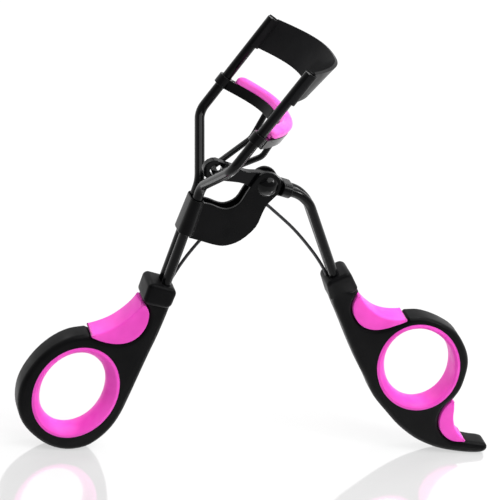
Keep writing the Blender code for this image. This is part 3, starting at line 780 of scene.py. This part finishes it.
def rubber(name, deep=(0.68, 0.043, 0.43), pale=(0.78, 0.064, 0.51)):
    """Orchid-pink silicone rubber: soft, slightly translucent, very fine skin."""
    mat, tree, shader, place = start_look(name, pale, 0.45)
    tree.links.new(between(tree, noise(tree, place, 140.0), deep, pale),
                   shader.inputs["Base Color"])
    tree.links.new(spread(tree, noise(tree, place, 500.0, 3.0), 0.4, 0.56),
                   shader.inputs["Roughness"])
    shader.inputs["Subsurface Weight"].default_value = 0.25
    shader.inputs["Subsurface Radius"].default_value = (1.0, 0.35, 0.75)
    shader.inputs["Subsurface Scale"].default_value = 0.0009
    shader.inputs["Specular IOR Level"].default_value = 0.28
    shader.inputs["Sheen Weight"].default_value = 0.1
    shader.inputs["Sheen Roughness"].default_value = 0.4
    bumps(tree, shader, [(noise(tree, place, 2600.0, 3.0, 0.6), 0.00002, 0.3),
                         (noise(tree, place, 260.0, 2.0), 0.00006, 0.15)])
    return mat


def wire_steel(name):
    """Blackened spring wire with drawing lines along it."""
    mat, tree, shader, place = start_look(name, (0.03, 0.03, 0.033), 0.3)
    tree.links.new(between(tree, noise(tree, place, 300.0), (0.016, 0.016, 0.018),
                           (0.035, 0.035, 0.038)), shader.inputs["Base Color"])
    tree.links.new(spread(tree, noise(tree, place, 900.0, 4.0), 0.24, 0.42),
                   shader.inputs["Roughness"])
    shader.inputs["Metallic"].default_value = 0.6
    bumps(tree, shader, [(noise(tree, place, 2400.0, 3.0), 0.00001, 0.3)])
    return mat


# ---------------------------------------------------------------- pieces
def piece(name, bm, look, body, *nodes, slot, bevel=0.0, flat=35.0, weld=0.0):
    """Make a piece from pivot millimetres and let it ride on a body.

    weld merges points closer than this, left where cut surfaces cross; bevel rounds
    every edge sharper than flat degrees.
    """
    if weld:
        bmesh.ops.remove_doubles(bm, verts=bm.verts, dist=weld)
    bmesh.ops.recalc_face_normals(bm, faces=bm.faces)
    if bm.calc_volume(signed=True) < 0:
        bmesh.ops.reverse_faces(bm, faces=bm.faces)
    bmesh.ops.translate(bm, verts=bm.verts, vec=PIVOT)
    bmesh.ops.scale(bm, verts=bm.verts, vec=Vector((MM, MM, MM)))
    mesh = bpy.data.meshes.new(name)
    bm.to_mesh(mesh)
    bm.free()
    item = bpy.data.objects.new(name, mesh)
    bpy.context.scene.collection.objects.link(item)
    mesh.materials.append(look)
    mesh.shade_smooth()
    if bevel:
        cut = item.modifiers.new("edges", "BEVEL")
        cut.width, cut.segments = bevel * MM, 2
        cut.limit_method, cut.angle_limit = "ANGLE", math.radians(flat)
        cut.harden_normals = True
        cut.use_clamp_overlap = False
    else:
        mesh.set_sharp_from_angle(angle=math.radians(flat))
    if body:
        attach(item, body)
    if nodes:
        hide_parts(*nodes)
    return item


def add_pieces():
    black = lacquer("black_lacquer")
    # jaw plate: rougher black lacquer whose base colour is painted several times lighter than the
    # other lacquer, a painted reflection standing in for the light off the jaw's inner face
    jaw_lacquer_painted_light = lacquer("black_lacquer_jaw_painted_light", (0.0085, 0.0085, 0.009), (0.0115, 0.0115, 0.012),
                    gloss=(0.26, 0.4), edge=0.06, coat=0.04)
    sheet = lacquer("black_lacquer_sheet", edge=0.3, coat=0.07)
    plastic = moulded("black_moulded_plastic")
    pink = rubber("pink_silicone")
    lash_pink = rubber("pink_silicone_lash", (0.80, 0.09, 0.53), (0.90, 0.14, 0.62))
    steel = wire_steel("blackened_wire")
    metal = {"slot": "black_metal"}
    for side, tag in ((-1, "near"), (1, "far")):
        piece("frame_rod_%s_bar" % tag, frame_rod(side), black, "frame", "frame_rod_" + tag,
              bevel=0.15, **metal)
        piece("lever_rod_%s_bar" % tag, lever_rod(side), black, "lever", "lever_rod_" + tag,
              bevel=0.15, **metal)
    piece("jaw_plate", upper_jaw(), jaw_lacquer_painted_light, "frame", "upper_jaw", weld=0.05, **metal)
    piece("jaw_channel", lower_jaw(), black, "jaw_carrier", "lower_jaw", bevel=0.1,
          weld=0.05, **metal)
    piece("hinge_cheeks", hinge_bracket(), sheet, "frame", "hinge_bracket", bevel=0.2, **metal)
    piece("rivet_pin", rivet(), black, "frame", "pivot_rivet", **metal)
    piece("lever_tongue", lever_plate(), black, "lever", "lever_plate", bevel=0.26, **metal)
    piece("link_wire", link_yoke(), black, "jaw_carrier", "link_yoke", bevel=0.1, **metal)
    wire = piece("spring_arch", return_spring(), steel, None, "return_spring",
                 slot="spring_wire")
    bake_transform(wire)

    bores = [(p.x, p.y) for p in curve_through(SPRING_PATH, 4)]
    left = grip(LEFT, ("outer", "seat"), [LEFT_SPRING_END] + bores[1:9],
                [shank_point(d) for d in LEFT_SOCKET])
    piece("left_grip", left, plastic, "frame", "left_handle", slot="black_plastic")
    right = grip(RIGHT, ("outer", "tail_seat", "crown", "seat"),
                 bores[-9:-1] + [RIGHT_SPRING_END], [lever_end(d) for d in RIGHT_SOCKET])
    piece("right_grip", right, plastic, "lever", "right_handle", slot="black_plastic")
    soft = {"slot": "pink_rubber"}
    piece("left_ring_bush", liner(LEFT), pink, "frame", "left_ring_liner", **soft)
    piece("right_ring_bush", liner(RIGHT), pink, "lever", "right_ring_liner", **soft)
    for name, shape, one, two, body, node in (
            ("left_thumb_rest", LEFT, "saddle", "seat", "frame", "left_thumb_pad"),
            ("right_thumb_rest", RIGHT, "saddle", "seat", "lever", "right_thumb_pad"),
            ("right_tail_rest", RIGHT, "tail_saddle", "tail_seat", "lever", "right_tail_pad")):
        pad = piece(name, crescent(shape[one], shape[two]), pink, body, node, bevel=0.25, **soft)
    pad = piece("lash_cushion", soft_pad(), lash_pink, "jaw_carrier", "silicone_pad", **soft)


# ---------------------------------------------------------------- studio
# camera: seen from the left, above and in front, with a slight roll
CAMERA_AT = (-0.17061, -0.39653, 0.28059)
CAMERA_ROWS = ((0.94423, -0.26383, 0.19704), (-0.04, 0.50206, 0.86391),
               (-0.32685, -0.82361, 0.46351))
LENS_MM, SENSOR_MM = 144.0, 36.0
# name, place and target in metres, side in metres, power in watts
LAMPS = (("over", (0.25, -0.4, 1.15), (0, 0, 0.05), 1.2, 19),
         ("right_top", (0.31, 0.2, 0.66), (0, 0, 0.06), 0.16, 1.6),
         ("left_back", (-0.31, 0.42, 0.54), (0, 0, 0.06), 0.3, 1.2),
         ("right_front", (0.53, -0.27, 0.5), (0, 0, 0.06), 0.16, 2.2))
ROOM_DIM, ROOM_BRIGHT = 0.3, 0.9


def add_camera():
    data = bpy.data.cameras.new("camera")
    data.lens, data.sensor_width = LENS_MM, SENSOR_MM
    data.clip_start, data.clip_end = 0.01, 20.0
    item = bpy.data.objects.new("camera", data)
    turn = Matrix(CAMERA_ROWS).transposed().to_4x4()
    item.matrix_world = Matrix.Translation(CAMERA_AT) @ turn
    bpy.context.scene.collection.objects.link(item)
    bpy.context.scene.camera = item


def add_lamp(name, place, target, size, power):
    """Square soft light that faces its target."""
    data = bpy.data.lights.new(name, "AREA")
    data.shape, data.size, data.size_y, data.energy = "RECTANGLE", size, size, power
    item = bpy.data.objects.new(name, data)
    item.location = place
    item.rotation_euler = (Vector(target) - Vector(place)).to_track_quat("-Z", "Y").to_euler()
    bpy.context.scene.collection.objects.link(item)


def add_floor():
    """Pale glossy floor with a faint light of its own, so that shadows stay soft."""
    mesh = bpy.data.meshes.new("floor")
    r = 3.0                                   # half its side, in metres
    mesh.from_pydata([(-r, -r, 0), (r, -r, 0), (r, r, 0), (-r, r, 0)], [], [(0, 1, 2, 3)])
    item = bpy.data.objects.new("floor", mesh)
    bpy.context.scene.collection.objects.link(item)
    mat = bpy.data.materials.new("floor")
    mat.use_nodes = True
    shader = mat.node_tree.nodes["Principled BSDF"]
    shader.inputs["Base Color"].default_value = (0.16, 0.16, 0.16, 1)
    shader.inputs["Roughness"].default_value = 0.07
    shader.inputs["IOR"].default_value = 2.9
    shader.inputs["Emission Color"].default_value = (1, 1, 1, 1)
    shader.inputs["Emission Strength"].default_value = 0.58
    mesh.materials.append(mat)


def add_world():
    """Soft white room, brighter behind the object and dim towards the viewer."""
    world = bpy.data.worlds.new("studio")
    bpy.context.scene.world = world
    world.use_nodes = True
    tree = world.node_tree
    back = tree.nodes["Background"]
    place = tree.nodes.new("ShaderNodeTexCoord").outputs["Generated"]
    split = tree.nodes.new("ShaderNodeSeparateXYZ")
    tree.links.new(place, split.inputs["Vector"])
    ramp = tree.nodes.new("ShaderNodeMapRange")
    ramp.inputs["From Min"].default_value = -0.3
    ramp.inputs["From Max"].default_value = 0.5
    ramp.inputs["To Min"].default_value = ROOM_DIM
    ramp.inputs["To Max"].default_value = ROOM_BRIGHT
    tree.links.new(split.outputs["Y"], ramp.inputs["Value"])
    tree.links.new(ramp.outputs["Result"], back.inputs["Color"])
    back.inputs["Strength"].default_value = 1.0


add_camera()
add_floor()
add_world()
add_pieces()
for lamp in LAMPS:
    add_lamp(*lamp)
bpy.context.scene.view_settings.view_transform = "Standard"
bpy.context.view_layer.update()
